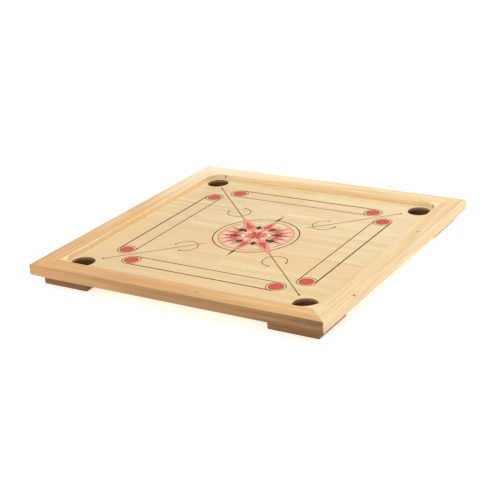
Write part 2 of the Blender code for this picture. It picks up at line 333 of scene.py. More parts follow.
def grain_vector(tree, grain):
    """Object coordinates as they are, and turned so that X runs along the grain, "x" or "y"."""
    place = add(tree, "TexCoord").outputs["Object"]
    rotation = (0, 0, QUARTER if grain == "y" else 0)
    return place, add(tree, "Mapping", {"Vector": place, "Rotation": rotation}).outputs[0]


def connect(tree, shader, colour, rough, height, strength):
    tree.links.new(colour, shader.inputs["Base Color"])
    tree.links.new(rough, shader.inputs["Roughness"])
    bump = add(tree, "Bump", {"Strength": strength, "Distance": 0.2 * MM, "Height": height})
    tree.links.new(bump.outputs[0], shader.inputs["Normal"])


# %% [markdown]
# ## Marks of age and painted light
# A used board isn't the same colour all over, and a few knots show. Painted shade darkens the outer
# faces of the front and right rails, painted light pales the side of the back right block, and tones
# grow darker or paler towards some corners as painted shade and painted light. Each is a mask from
# the place on the board, so it can be laid over any wood.

# %% Masks and marks
FACE_SKIN = 1.2 * MM  # how deep a colour of an outer face reaches


def front_face_shade(tree, place):
    """The front rail's outer face, more so to the right: painted shade, darkest at the right end."""
    along = add(tree, "SeparateXYZ", {0: place}).outputs
    face = ramp(tree, along["Y"], FACE_SKIN - HALF, 2 * FACE_SKIN - HALF, 1, 0)
    return multiply(tree, face, ramp(tree, along["X"], -HALF, HALF, 0.3, 1.0))


def right_face_shade(tree, place):
    """The right rail's outer face, made a little darker with painted shade."""
    along = add(tree, "SeparateXYZ", {0: place}).outputs
    return ramp(tree, along["X"], HALF - 2 * FACE_SKIN, HALF - FACE_SKIN, 0, 0.6)


def back_right_side_light(tree, place):
    """The outer side of the back right block, partly made paler with painted light."""
    along = add(tree, "SeparateXYZ", {0: place}).outputs
    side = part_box("corner_block_back_right")[1].x
    face = ramp(tree, along["X"], side - 2 * FACE_SKIN, side - FACE_SKIN, 0, 0.55)
    return multiply(tree, face, ramp(tree, along["Y"], 0, 0.1 * SIDE, 0, 1))


def toward_corner(tree, place, corner, start, share):
    """A mask that grows to share towards a corner, from start as a part of the way there."""
    direction = (*CORNERS[corner], 0)
    along = add(tree, "VectorMath", {0: place, 1: direction}, operation="DOT_PRODUCT").outputs["Value"]
    return ramp(tree, along, start * SIDE, SIDE, 0, share)


KNOT_BROWN = paint(70, 42, 18)
KNOT_HALO = 2.4  # size of the halo over the speck's
HALO_SHARE = 0.35


def add_knot(tree, place, base, centre, size, shade):
    wide = tuple(KNOT_HALO * part for part in size)
    spot = use(tree, PIN_KNOT, {"Vector": place, "Centre": centre, "Size": size})["Mask"]
    halo = use(tree, PIN_KNOT, {"Vector": place, "Centre": centre, "Size": wide})["Mask"]
    return blend(tree, spot, overlay(tree, base, halo, HALO_SHARE, shade), KNOT_BROWN)


# %% [markdown]
# ## One recipe for every wooden finish
# All the wooden pieces share a recipe and differ in their values: three tones, which way the grain
# runs, how glossy the lacquer is, and which marks it has. The recipe lays one thing over another in
# the order in which they come to be: the wood, its strips, its figure, wear, and the marks last;
# painted light and painted shade come in among the marks.

# %% The wood recipe
DRIFT_SHARE = 0.7
STRIP_SHARE = 0.75  # how far a strip's tint goes towards the warm tone
JOINT_SHARE = 0.35
PORE_DARK = 0.45  # a pore's brightness over the dark tone's
WALL_LIGHT_SHARE = 0.65
# The colour and share of the painted shade inside the pockets.
POCKET_SHADE_COLOUR = paint(92, 56, 10)
POCKET_SHADE_SHARE = 0.9


def figured(tree, along, seed, tones, strips, streak, pore):
    """Bare wood, and the outputs of the figure that drew it."""
    pale, dark, warm = tones
    layout = None
    if strips:
        layout = use(tree, GLUED_STRIPS, {"Vector": along, "Width": strips[0], "Length": strips[1]})
        seed = add(tree, "Math", {0: layout["Tint"], 1: seed}, operation="ADD").outputs[0]
    figure = use(tree, SAWN_WOOD, {"Vector": along, "Seed": seed})
    base = blend(tree, figure["Bands"], pale, dark)
    base = overlay(tree, base, figure["Drift"], DRIFT_SHARE, warm)
    if strips:
        base = overlay(tree, base, layout["Tint"], STRIP_SHARE, warm)
        base = overlay(tree, base, layout["Joint"], JOINT_SHARE, dark)
    base = overlay(tree, base, figure["Streaks"], streak, dark)
    return overlay(tree, base, figure["Pores"], pore, darker(dark, PORE_DARK)), figure


def wood(name, tones, grain="x", seed=0.0, gloss=0.4, coat=0.0, wear=0.5, bump=0.25, streak=0.55,
         pore=0.35, strips=None, corners=(), wall_light=None, painted_face=None, pockets=False, knots=()):
    """A lacquered or oiled wood from its pale, dark and warm tone. A knot is (centre, size)."""
    pale, dark, warm = (paint(*tone) for tone in tones)
    made, tree, shader = surface(name, coat=coat, coat_roughness=0.24)
    place, along = grain_vector(tree, grain)
    base, figure = figured(tree, along, seed, (pale, dark, warm), strips, streak, pore)
    worn = use(tree, EDGE_WEAR, {"Vector": place, "Amount": wear})["Mask"]
    base = blend(tree, worn, base, pale)
    # Painted shade and painted light that grow towards some corners.
    for corner, start, share, colour in corners:
        base = blend(tree, toward_corner(tree, place, corner, start, share), base, colour)
    # Painted light on the rails' inner walls.
    if wall_light:
        wall_light_mask = use(tree, PAINTED_WALL_LIGHT, {"Vector": place})["Mask"]
        base = overlay(tree, base, wall_light_mask, WALL_LIGHT_SHARE, blend(tree, figure["Bands"], *wall_light))
    # Painted shade on the rails' outer faces and painted light on the block's side.
    if painted_face:
        where, *shades = painted_face
        base = blend(tree, where(tree, place), base, blend(tree, figure["Streaks"], *shades))
    # Painted shade inside the pockets, deeper further down.
    if pockets:
        pocket_shade_mask = use(tree, POCKET_SHADE, {"Vector": place})["Mask"]
        base = overlay(tree, base, pocket_shade_mask, POCKET_SHADE_SHARE, POCKET_SHADE_COLOUR)
    for centre, size in knots:
        base = add_knot(tree, place, base, centre, size, darker(dark, PORE_DARK))
    rough = ramp(tree, figure["Streaks"], 0, 1, gloss - 0.05, gloss + 0.08)
    height = add(tree, "Math", {0: figure["Streaks"], 1: figure["Pores"]}, operation="SUBTRACT")
    connect(tree, shader, base, rough, height.outputs[0], bump)
    return made


# %% [markdown]
# ## The woods of this board
# The rails are pale rubberwood under clear satin lacquer. Each rail is its own length of timber, so
# each has its own tones and seed, and the back rail's are made paler still as painted light. The
# blocks are a darker hardwood, the pocket floors and tongues bare plywood, and the braces pine.

# %% Tones and stains
# The back rail's tones are partly its own timber and partly painted light.
RAIL_TONES_AND_LIGHT = {  # pale, dark and warm
    "front": ((240, 204, 146), (196, 146, 84), (222, 168, 106)),
    "right": ((246, 230, 184), (214, 176, 116), (238, 202, 150)),
    "back": ((252, 240, 204), (220, 176, 112), (244, 208, 152)),
    "left": ((246, 222, 174), (204, 154, 88), (238, 188, 124)),
}
PANEL_TONES = ((242, 232, 184), (212, 178, 118), (238, 194, 146))
BLOCK_TONES = ((150, 106, 46), (96, 62, 18), (140, 90, 32))
PLY_TONES = ((158, 112, 66), (124, 84, 46), (150, 98, 58))
FLOOR_TONES = ((164, 114, 46), (118, 78, 26), (150, 98, 34))
PINE_TONES = ((232, 194, 138), (206, 158, 100), (226, 176, 120))
# The pale and warm tones of the painted light on the rails' inner walls.
WALL_LIGHT_TONES = (paint(255, 238, 192), paint(254, 214, 154))
# Painted light on the outer side of the back right block.
BLOCK_SIDE_LIGHT = (back_right_side_light, paint(250, 232, 204), paint(236, 208, 170))
# Painted shade on the outer faces of the front and right rails.
RAIL_FACE_SHADE = {"front": (front_face_shade, paint(144, 98, 36), paint(88, 54, 10)),
               "right": (right_face_shade, paint(232, 204, 156), paint(212, 176, 124))}
# Each is a corner, where its tone starts towards that corner, its share there, and its colour. They are
# painted shade towards the front left and painted light towards the back.
RAIL_CORNER_LIGHT = (("front_left", 0.3, 0.55, paint(206, 144, 80)),
                ("back_left", 0.5, 0.8, paint(252, 236, 206)))
PANEL_CORNER_LIGHT = (("front_left", -0.5, 0.4, paint(212, 186, 132)),
                 ("back_right", 0.0, 0.3, paint(246, 232, 200)))
PANEL_SEED = 5.0

# %% Place the knots
WALL_Z = (PLAY_Z + TOP_Z) / 2
CORNER_SPOT = POCKET_AT + (OPENING - POCKET_AT) / math.sqrt(2)  # on the wall, behind a pocket
CORNER_KNOT = ((CORNER_SPOT, CORNER_SPOT, WALL_Z), (2 * MM, 2 * MM, 4 * MM))
RAIL_KNOTS = {
    "front": [((0.086 * SIDE, -0.470 * SIDE, TOP_Z), (2.4 * MM, 1.2 * MM, 3 * MM))],
    "right": [((0.4975 * SIDE, -0.314 * SIDE, TOP_Z), (1.8 * MM, 3.2 * MM, 3 * MM)),
              ((0.468 * SIDE, 0.177 * SIDE, TOP_Z), (1.6 * MM, 2.8 * MM, 3 * MM)), CORNER_KNOT],
    "back": [((-0.381 * SIDE, OPENING, WALL_Z), (1.2 * MM, 2 * MM, 4 * MM)), CORNER_KNOT],
    "left": [],
}


# %% Make every wood
def mix_woods():
    woods = {}
    for quarter, side in enumerate(SIDES):
        woods[f"rail_{side}"] = wood(
            f"rubberwood_{side}", RAIL_TONES_AND_LIGHT[side], grain="y" if quarter % 2 else "x",
            seed=3.1 + 2.7 * quarter, gloss=0.42, coat=0.07, streak=0.7, corners=RAIL_CORNER_LIGHT,
            wall_light=WALL_LIGHT_TONES, painted_face=RAIL_FACE_SHADE.get(side), knots=RAIL_KNOTS[side],
        )
    woods["panel"] = wood("laid_strips", PANEL_TONES, seed=PANEL_SEED, gloss=0.30, coat=0.2, bump=0.12,
                          streak=0.6, pore=0.3, strips=(0.062, 0.43), corners=PANEL_CORNER_LIGHT,
                          pockets=True)
    woods["block"] = wood("dark_hardwood", BLOCK_TONES, seed=11.0, gloss=0.52, bump=0.35,
                          painted_face=BLOCK_SIDE_LIGHT, pockets=True)
    for key, name, tones, seed in (("ply", "bare_plywood", PLY_TONES, 17.0),
                                   ("floor", "worn_plywood", FLOOR_TONES, 19.0)):
        woods[key] = wood(name, tones, seed=seed, gloss=0.62, bump=0.4, wear=0.2)
    for key, name, grain, seed in (("pine_x", "pine_across", "x", 23.0),
                                   ("pine_y", "pine_lengthways", "y", 29.0)):
        woods[key] = wood(name, PINE_TONES, grain=grain, seed=seed, gloss=0.55, streak=0.45)
    return woods


WOODS = mix_woods()
print("woods:", sorted(WOODS))

# %% [markdown]
# ## Printing ink and screw steel
# Screen ink is a thin even film, but wood shows through it a little, and it wears off in specks.
# The same sawn wood group darkens it, with the panel's seed. Dark inks reflect little, so their
# specular level is lower. The screws are zinc plated, with a rubbed, uneven gloss.

# %% Mix the inks
BARE_WOOD = paint(232, 196, 146)


def ink(name, colour, show=0.28, specks=0.25, shine=0.15):
    """An ink: show is how far the wood darkens it, and specks how bare its worn specks are."""
    made, tree, shader = surface(name)
    shader.inputs["Specular IOR Level"].default_value = shine
    place, along = grain_vector(tree, "x")
    figure = use(tree, SAWN_WOOD, {"Vector": along, "Seed": PANEL_SEED})
    base = overlay(tree, colour, figure["Streaks"], show, darker(colour, 0.72))
    wear = add(tree, "TexNoise", {"Vector": place, "Scale": 900.0, "Detail": 2.0}).outputs["Fac"]
    base = blend(tree, ramp(tree, wear, 0.62, 0.74, 0, specks), base, BARE_WOOD)
    connect(tree, shader, base, ramp(tree, wear, 0.3, 0.7, 0.30, 0.42), figure["Streaks"], 0.08)
    return made


def zinc(name):
    made, tree, shader = surface(name, metallic=1.0)
    place = add(tree, "TexCoord").outputs["Object"]
    rubbed = add(tree, "TexNoise", {"Vector": place, "Scale": 700.0, "Detail": 3.0}).outputs["Fac"]
    base = blend(tree, rubbed, (0.62, 0.61, 0.56, 1), (0.78, 0.77, 0.72, 1))
    connect(tree, shader, base, ramp(tree, rubbed, 0.3, 0.7, 0.25, 0.45), rubbed, 0.15)
    return made


DARK_SHINE = 0.03
INKS = {
    "red": ink("ink_red", paint(206, 74, 64)),
    "salmon": ink("ink_salmon", paint(236, 148, 122), specks=0.5),
    "blush": ink("ink_blush", paint(238, 172, 140), specks=0.6),
    "crimson": ink("ink_crimson", paint(192, 62, 64)),
    "wine": ink("ink_wine", paint(124, 50, 58), shine=DARK_SHINE),
    "olive": ink("ink_olive", paint(72, 66, 36), shine=DARK_SHINE),
    "brown": ink("ink_brown", paint(86, 58, 22), shine=DARK_SHINE),
    "cream": ink("ink_cream", paint(244, 224, 188), show=0.1, specks=0.1),
}
ZINC = zinc("zinc_plate")
print("inks:", sorted(INKS))

# %% [markdown]
# ## Finishing a mesh
# Every new piece ends the same way: its normals face out, its faces are smooth up to a chosen angle,
# and each vertex stores its lean for the wear group. The lean is the smaller of the normal's upright
# and level parts, so it is zero on a flat top and on a wall, and one half way round an edge.

# %% Turn a bmesh into a finished piece
def finish_piece(name, shape, material, nodes=(), angle=40):
    bmesh.ops.recalc_face_normals(shape, faces=shape.faces)
    mesh = bpy.data.meshes.new(name)
    shape.to_mesh(mesh)
    shape.free()
    mesh.materials.append(material)
    mesh.shade_smooth()
    mesh.set_sharp_from_angle(angle=math.radians(angle))
    lean = mesh.attributes.new("lean", "FLOAT", "POINT")
    for vertex, value in zip(mesh.vertices, lean.data):
        level = vertex.normal.xy.length
        value.value = min(1.0, math.sqrt(2) * min(level, abs(vertex.normal.z)))
    piece = bpy.data.objects.new(name, mesh)
    bpy.context.scene.collection.objects.link(piece)
    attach(piece, "root")
    if nodes:
        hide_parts(*nodes)
    return piece


# %% [markdown]
# ## A square with round corners
# Both the rails and the panel are built on one outline: a grid of a single face whose four corner
# vertices are bevelled. Keeping only its edges gives a loop, and loops with the same number of
# vertices can be bridged one to the next.

# %% The outline
CORNER_STEPS = 16


def outline(shape, half, radius, z):
    """Adds a loop of edges: a square of that half width, with round corners, at height z."""
    known = set(shape.edges)
    corners = bmesh.ops.create_grid(shape, x_segments=1, y_segments=1, size=half)["verts"]
    bmesh.ops.translate(shape, vec=(0, 0, z), verts=corners)
    bmesh.ops.bevel(shape, geom=corners, offset=radius, segments=CORNER_STEPS, profile=0.5,
                    affect="VERTICES", material=-1)
    made = [e for e in shape.edges if e not in known]
    face = made[0].link_faces[0]
    bmesh.ops.delete(shape, geom=[face], context="FACES_ONLY")
    return made


# %% [markdown]
# ## The frame of rails
# The four rails are one moulding, mitred at the corners. The moulding's section is listed as
# stations going round it: up the inner wall, into the groove that holds the panel, over the rounded
# top, and down outside. Each station is an outline, and the inside corners stay concentric with the
# pockets all the way.

# %% Stations of the moulding
TOP_ROUND = 2.6 * MM
LOW_ROUND = 1.2 * MM
UPRIGHT_ROUND = 3.4 * MM  # upright corners of the frame
ROUND_STEPS = 6
GROOVE_DEPTH = PANEL_HALF - OPENING + 0.5 * MM
GROOVE_TAPER = 0.1 * MM


def moulding_stations():
    """(half width, corner radius, height) of each loop round the section."""
    def inner(depth, z):
        return (OPENING + depth, OPENING + depth - POCKET_AT, z)

    def outer(depth, z):
        return (HALF - depth, UPRIGHT_ROUND - depth, z)

    quarter = [math.radians(90 * step / ROUND_STEPS) for step in range(ROUND_STEPS + 1)]
    stations = [inner(LOW_ROUND / 2, FRAME_LOW), inner(0, FRAME_LOW + LOW_ROUND / 2)]
    stations += [inner(0, PANEL_LOW - GAP), inner(GROOVE_DEPTH, PANEL_LOW - GAP + GROOVE_TAPER)]
    stations += [inner(GROOVE_DEPTH, PLAY_Z + GAP - GROOVE_TAPER), inner(0, PLAY_Z + GAP)]
    for a in quarter:
        stations.append(inner(TOP_ROUND * (1 - math.cos(a)), TOP_Z - TOP_ROUND * (1 - math.sin(a))))
    for a in quarter:
        stations.append(outer(TOP_ROUND * (1 - math.sin(a)), TOP_Z - TOP_ROUND * (1 - math.cos(a))))
    for a in quarter:
        stations.append(outer(LOW_ROUND * (1 - math.cos(a)), FRAME_LOW + LOW_ROUND * (1 - math.sin(a))))
    return stations


def moulding_ring():
    ring = bmesh.new()
    loops = [outline(ring, *station) for station in moulding_stations()]
    for first, second in zip(loops, loops[1:] + loops[:1]):
        bmesh.ops.bridge_loops(ring, edges=first + second)
    bmesh.ops.recalc_face_normals(ring, faces=ring.faces)
    return ring


# %% [markdown]
# ## Mitres
# Real rails are sawn at 45 degrees and glued, which leaves a hairline joint at each corner. The
# closed ring is cut the same way, by two planes for each rail, and the sawn ends are filled and
# eased. Cutting one ring keeps the moulding of all four rails in line.

# %% Cut the ring into four rails
MITRE_GAP = 0.06 * MM
MITRE_EASE = 0.15 * MM


def cut_rail(ring, quarter):
    """The sector of the ring that belongs to one side, with closed and eased mitre ends."""
    rail = ring.copy()
    for slope in (1, -1):
        outward = (turn(quarter * QUARTER) @ Vector((slope, 1, 0))).normalized()
        everything = rail.verts[:] + rail.edges[:] + rail.faces[:]
        cut = bmesh.ops.bisect_plane(rail, geom=everything, dist=1e-7, plane_co=outward * -MITRE_GAP,
                                     plane_no=outward, clear_outer=True)["geom_cut"]
        ends = bmesh.ops.edgeloop_fill(rail, edges=[e for e in cut if isinstance(e, bmesh.types.BMEdge)])
        print("   mitre faces closed:", len(ends["faces"]))
    mitres = [f for f in rail.faces if abs(f.normal.z) < 0.01 and len(f.verts) > 20]
    rims = {e for face in mitres for e in face.edges}
    bmesh.ops.bevel(rail, geom=list(rims), offset=MITRE_EASE, segments=1, profile=0.5,
                    affect="EDGES", material=-1, clamp_overlap=True)
    return rail


def make_rails():
    ring = moulding_ring()
    for quarter, side in enumerate(SIDES):
        rail = finish_piece(f"{side}_rail", cut_rail(ring, quarter), WOODS[f"rail_{side}"],
                            [f"rail_{side}"])
        print(rail.name, len(rail.data.polygons), "faces")
    ring.free()


make_rails()

# %% [markdown]
# ## The playing panel
# The panel is a sheet with four round holes. Its outline and the four circles are filled together,
# which triangle_fill does while it leaves the circles open, and the flat sheet is then extruded to
# its thickness. The rims of the holes are rounded a little, as sandpaper leaves them.

# %% Build the panel
HOLE_SIDES = 96
RIM_ROUND = 0.5 * MM


def flat_circle(shape, radius, centre, sides=HOLE_SIDES, filled=False):
    place = Matrix.Translation((*centre, 0))
    return bmesh.ops.create_circle(shape, cap_ends=filled, segments=sides, radius=radius,
                                   matrix=place)["verts"]


def raise_sheet(shape, thickness):
    """Gives the flat faces a thickness, upwards, as one closed body for each island."""
    made = bmesh.ops.extrude_face_region(shape, geom=shape.faces[:])["geom"]
    upper = [v for v in made if isinstance(v, bmesh.types.BMVert)]
    bmesh.ops.translate(shape, vec=(0, 0, thickness), verts=upper)
    return upper


def make_panel():
    shape = bmesh.new()
    outline(shape, PANEL_HALF, PANEL_HALF - POCKET_AT, 0)
    for sx, sy in CORNERS.values():
        flat_circle(shape, POCKET_R, (sx * POCKET_AT, sy * POCKET_AT))
    bmesh.ops.triangle_fill(shape, use_beauty=True, use_dissolve=False, edges=shape.edges[:])
    thickness = PLAY_Z - PANEL_LOW
    upper = set(raise_sheet(shape, thickness))
    bmesh.ops.recalc_face_normals(shape, faces=shape.faces)
    rims = [e for e in shape.edges if set(e.verts) <= upper and e.calc_face_angle(0) > 1
            and e.verts[0].co.xy.length < POCKET_AT * math.sqrt(2) + 2 * POCKET_R
            and max(abs(e.verts[0].co.x), abs(e.verts[0].co.y)) < OPENING - 1 * MM]
    bmesh.ops.bevel(shape, geom=rims, offset=RIM_ROUND, segments=3, profile=0.5, affect="EDGES",
                    material=-1)
    bmesh.ops.translate(shape, vec=(0, 0, PANEL_LOW), verts=shape.verts)
    return finish_piece("playing_panel", shape, WOODS["panel"], ["play_panel"])


panel = make_panel()
print(panel.name, len(panel.data.polygons), "faces")

# %% [markdown]
# ## Printing: flat shapes
# Everything printed is drawn flat first: bars, bands, discs, arcs and kites. A band is two circles
# bridged, an arc is a short edge spun about its centre, and a kite is a four-sided circle whose
# corners are pulled out.

# %% Flat shapes for the print
ARC_STEP = math.radians(4)


def bar(shape, start, end, width):
    start, end = Vector((*start, 0)), Vector((*end, 0))
    run = end - start
    place = Matrix.Translation((start + end) / 2) @ turn(math.atan2(run.y, run.x))
    stretch = Matrix.Diagonal((run.length, width, 1, 1))
    bmesh.ops.create_grid(shape, x_segments=1, y_segments=1, size=0.5, matrix=place @ stretch)


def band(shape, centre, radius, width, sides=HOLE_SIDES):
    verts = flat_circle(shape, radius - width / 2, centre, sides)
    verts = verts + flat_circle(shape, radius + width / 2, centre, sides)
    edges = {e for v in verts for e in v.link_edges}
    bmesh.ops.bridge_loops(shape, edges=list(edges))


def arc(shape, centre, radius, width, start, sweep):
    """Part of a band, from the angle start, anticlockwise."""
    middle = Vector((*centre, 0))
    ray = Vector((math.cos(start), math.sin(start), 0))
    ends = [shape.verts.new(middle + ray * (radius + off)) for off in (-width / 2, width / 2)]
    edge = shape.edges.new(ends)
    bmesh.ops.spin(shape, geom=ends + [edge], cent=middle, axis=Z_AXIS, angle=sweep,
                   steps=max(2, round(sweep / ARC_STEP)))


def kite(shape, inner, belly, outer, half_width, angle, centre=(0, 0)):
    """A four-cornered petal that points away from centre, along angle. Returns its face."""
    verts = bmesh.ops.create_circle(shape, cap_ends=True, segments=4, radius=1)["verts"]
    for v in verts:
        along, across = round(v.co.x), round(v.co.y)
        v.co = (belly if across else (outer if along > 0 else inner), across * half_width, 0)
    bmesh.ops.transform(shape, matrix=Matrix.Translation((*centre, 0)) @ turn(angle), verts=verts)
    return verts[0].link_faces[0]


def hollow(shape, face, line):
    """Leaves only a line round the inside of the face's edge."""
    bmesh.ops.inset_individual(shape, faces=[face], thickness=line, use_even_offset=True)
    bmesh.ops.delete(shape, geom=[face], context="FACES_ONLY")


# %% [markdown]
# ## Layers of ink
# A screen printer lays one colour after another, and each lies on the ones before it. Every motif
# is a thin film of its own at the height of its layer, so that a later ink shows over an earlier one.

# %% Print one colour
INK_THICK = 0.02 * MM
INK_LIFT = 0.03 * MM  # from one layer to the next


def print_colour(name, colour, layer, draw):
    shape = bmesh.new()
    draw(shape)
    raise_sheet(shape, INK_THICK)
    height = PLAY_Z + INK_LIFT * (layer + 0.5)
    bmesh.ops.translate(shape, vec=(0, 0, height), verts=shape.verts)
    piece = finish_piece(name, shape, INKS[colour], angle=20)
    print(name, len(piece.data.polygons), "faces")
    return piece


# %% [markdown]
# ## Base lines and base circles
# Each player shoots from between two base lines that end in a circle at either side, with a red disc
# inside it. Both lines run into the circle near its edges, and the outer line is the thicker one.
# One side is drawn and the rest follow by quarter turns.

# %% Draw the base lines
BASE_X = 0.2523 * SIDE
BASE_Y = 0.3159 * SIDE
LINE_OFF = 0.0279 * SIDE
RING_R = 0.0294 * SIDE
RING_LINE = 1.5 * MM
DISC_R = 0.0222 * SIDE
DISC_LINE = 0.9 * MM
OUTER_LINE = 2.8 * MM
INNER_LINE = 2.0 * MM


def round_the_board(shape, draw):
    """Draws the same thing on all four sides of the board."""
    for quarter in range(4):
        before = set(shape.verts)
        draw(shape)
        fresh = [v for v in shape.verts if v not in before]
        bmesh.ops.transform(shape, matrix=turn(quarter * QUARTER), verts=fresh)


def one_pair_of_lines(shape):
    for y, width in ((BASE_Y + LINE_OFF, OUTER_LINE), (BASE_Y - LINE_OFF, INNER_LINE)):
        bar(shape, (-BASE_X, -y), (BASE_X, -y), width)


def one_pair_of_rings(shape):
    for x in (-BASE_X, BASE_X):
        band(shape, (x, -BASE_Y), RING_R, RING_LINE, 64)
        band(shape, (x, -BASE_Y), DISC_R, DISC_LINE, 64)


def one_pair_of_discs(shape):
    for x in (-BASE_X, BASE_X):
        flat_circle(shape, DISC_R, (x, -BASE_Y), 64, filled=True)


print_colour("print_base_discs", "red", 0, lambda s: round_the_board(s, one_pair_of_discs))
print_colour("print_base_rings", "brown", 1, lambda s: round_the_board(s, one_pair_of_rings))
print_colour("print_base_lines", "brown", 2, lambda s: round_the_board(s, one_pair_of_lines))

# %% [markdown]
# ## Foul lines
# A foul line runs from each pocket towards the middle, with a dot at the pocket and an open curl
# whose two ends are small arrowheads. It passes between the base circles without touching them.

# %% Draw the foul lines
EIGHTH = math.radians(45)
DIAGONALS = [EIGHTH + quarter * QUARTER for quarter in range(4)]
LINE_FAR = 0.340 * SIDE * math.sqrt(2)
LINE_NEAR = 0.116 * SIDE * math.sqrt(2)
LINE_WIDE = 1.6 * MM
DOT_R = 2.4 * MM
CURL_AT = 0.158 * SIDE
CURL_R = 0.038 * SIDE
CURL_LINE = 1.3 * MM
CURL_OPEN = math.radians(52)  # half of the opening, each side of the line
ARROW_LONG = 6 * MM
ARROW_WIDE = 2.4 * MM


def polar(radius, angle):
    return (radius * math.cos(angle), radius * math.sin(angle))


def draw_foul_lines(shape):
    for angle in DIAGONALS:
        bar(shape, polar(LINE_NEAR, angle), polar(LINE_FAR - DOT_R, angle), LINE_WIDE)
        flat_circle(shape, DOT_R, polar(LINE_FAR, angle), 24, filled=True)


def draw_curls(shape):
    for angle in DIAGONALS:
        centre = polar(CURL_AT * math.sqrt(2), angle)
        sweep = math.tau - 2 * CURL_OPEN
        arc(shape, centre, CURL_R, CURL_LINE, angle + CURL_OPEN, sweep)
        for side in (-1, 1):
            tip = angle + side * CURL_OPEN
            end = Vector(centre) + Vector(polar(CURL_R, tip))
            kite(shape, 0, ARROW_LONG * 0.2, ARROW_LONG, ARROW_WIDE, tip - side * QUARTER, end)


print_colour("print_foul_lines", "brown", 3, draw_foul_lines)
print_colour("print_curls", "brown", 4, draw_curls)

# %% [markdown]
# ## The star in the middle
# The centre circle holds a plain geometric rosette: a wash of blush behind, two fans of crimson rays,
# four salmon petals with red hearts between the fans, dark lozenges in a ring and a small flower in
# the middle. The long petals point to two corners, the shorter ones to two sides.

# %% Sizes of the star
RING_OUT, RING_OUT_LINE = 0.1365 * SIDE, 2.2 * MM
RING_IN, RING_IN_LINE = 0.119 * SIDE, 1.0 * MM
WASH_IN, WASH_OUT = 0.046 * SIDE, 0.117 * SIDE
WASH_MIDDLE = 0.036 * SIDE
FAN_MIDDLE = math.radians(17)
FAN_HALF = math.radians(47)
FAN_STEP = FAN_HALF / 5.5  # a fan is eleven steps wide
# Each kind of leaf: where it starts, is widest and ends, and half its width, as parts of the side.
RAY = (0.046, 0.076, 0.115, 0.0058)
SHORT_RAY = (0.050, 0.066, 0.098, 0.0030)
PALE_RAY = (0.070, 0.100, 0.116, 0.0034)
LONG_PETAL, SHORT_PETAL = (0.032, 0.066, 0.168, 0.0225), (0.032, 0.062, 0.134, 0.0205)
LONG_HEART, SHORT_HEART = (0.044, 0.072, 0.124, 0.0125), (0.042, 0.066, 0.110, 0.0115)
LOZENGE = (0.048, 0.066, 0.084, 0.0095)
LOZENGE_FRAME = (0.046, 0.070, 0.098, 0.0135)
LOZENGE_GROUND = (0.044, 0.070, 0.100, 0.0140)
POINTER = (0.122, 0.136, 0.180, 0.0046)
SHIELD = (0.031, 0.040, 0.051, 0.018)
LONG_LEAF, SHORT_LEAF = (0.010, 0.022, 0.037, 0.0086), (0.010, 0.022, 0.033, 0.0086)


def leaf(shape, sizes, angle, line=None):
    """A kite that points away from the middle of the board, or only a line round its edge."""
    face = kite(shape, *(part * SIDE for part in sizes), angle)
    if line:
        hollow(shape, face, line)


def leaves(shape, sizes, steps, line=None):
    """The same leaf at several steps, where eight steps go round the board."""
    for step in steps:
        leaf(shape, sizes, step * EIGHTH, line)

# %% [markdown]
# ## Background of the star
# Printers start with the largest and palest areas. The wash lies lowest, and the rays of the two
# fans lie on it. The fans aren't at right angles to the petals, so their middle has an angle of its
# own.

# %% Print the star's background
def draw_wash(shape):
    width = WASH_OUT - WASH_IN
    for half_turn in (0, math.pi):
        arc(shape, (0, 0), WASH_IN + width / 2, width, FAN_MIDDLE - FAN_HALF + half_turn, 2 * FAN_HALF)
    flat_circle(shape, WASH_MIDDLE, (0, 0), 48, filled=True)


def fans(shape, sizes, steps):
    """The same leaf in both fans, at several steps from the fan's middle."""
    for half_turn in (0, math.pi):
        for step in steps:
            leaf(shape, sizes, FAN_MIDDLE + half_turn + FAN_STEP * step)


def draw_rings(shape):
    band(shape, (0, 0), RING_OUT, RING_OUT_LINE)
    band(shape, (0, 0), RING_IN, RING_IN_LINE)


EVEN_STEPS, ODD_STEPS = range(-4, 5, 2), range(-5, 6, 2)
print_colour("print_star_wash", "blush", 0, draw_wash)
print_colour("print_star_rays", "crimson", 1, lambda s: fans(s, RAY, EVEN_STEPS))
print_colour("print_pale_rays", "cream", 1, lambda s: fans(s, PALE_RAY, ODD_STEPS))
print_colour("print_short_rays", "wine", 1.5, lambda s: fans(s, SHORT_RAY, ODD_STEPS))
print_colour("print_centre_rings", "brown", 1.5, draw_rings)

# %% [markdown]
# ## Petals
# A petal is printed three times: its salmon ground, a thin brown line round it, and a red heart.
# The line is the same kite with its middle taken out, so it fits the ground exactly.

# %% Print the petals
PETAL_LINE = 0.5 * MM


def draw_petals(shape, long, short, line=None):
    """Two short and two long petals, side by side in pairs."""
    for step in (2, 3, 6, 7):
        leaf(shape, long if step % 2 else short, step * EIGHTH, line)


print_colour("print_petals", "salmon", 2, lambda s: draw_petals(s, LONG_PETAL, SHORT_PETAL))
print_colour("print_petal_edges", "brown", 3,
             lambda s: draw_petals(s, LONG_PETAL, SHORT_PETAL, PETAL_LINE))
print_colour("print_petal_hearts", "red", 4, lambda s: draw_petals(s, LONG_HEART, SHORT_HEART))

# %% [markdown]
# ## Small ornaments
# Among the petals stands a ring of framed lozenges, four wine and four olive. A shield closes the
# root of each fan, two pointers reach out past the centre circle, and a flower covers the middle.
# All but the eyes and the disc of the flower are leaves again, so a list of steps is enough to place
# them.

# %% Print the small ornaments
LOZENGE_LINE, SHIELD_LINE = 0.7 * MM, 1.1 * MM
EVERY_HALF = [step + 0.5 for step in range(8)]
WINE_STEPS, OLIVE_STEPS = (0.5, 1.5, 4.5, 5.5), (2.5, 3.5, 6.5, 7.5)
POINTER_STEPS, SHIELD_STEPS = (2, 6), (0.5, 4.5)


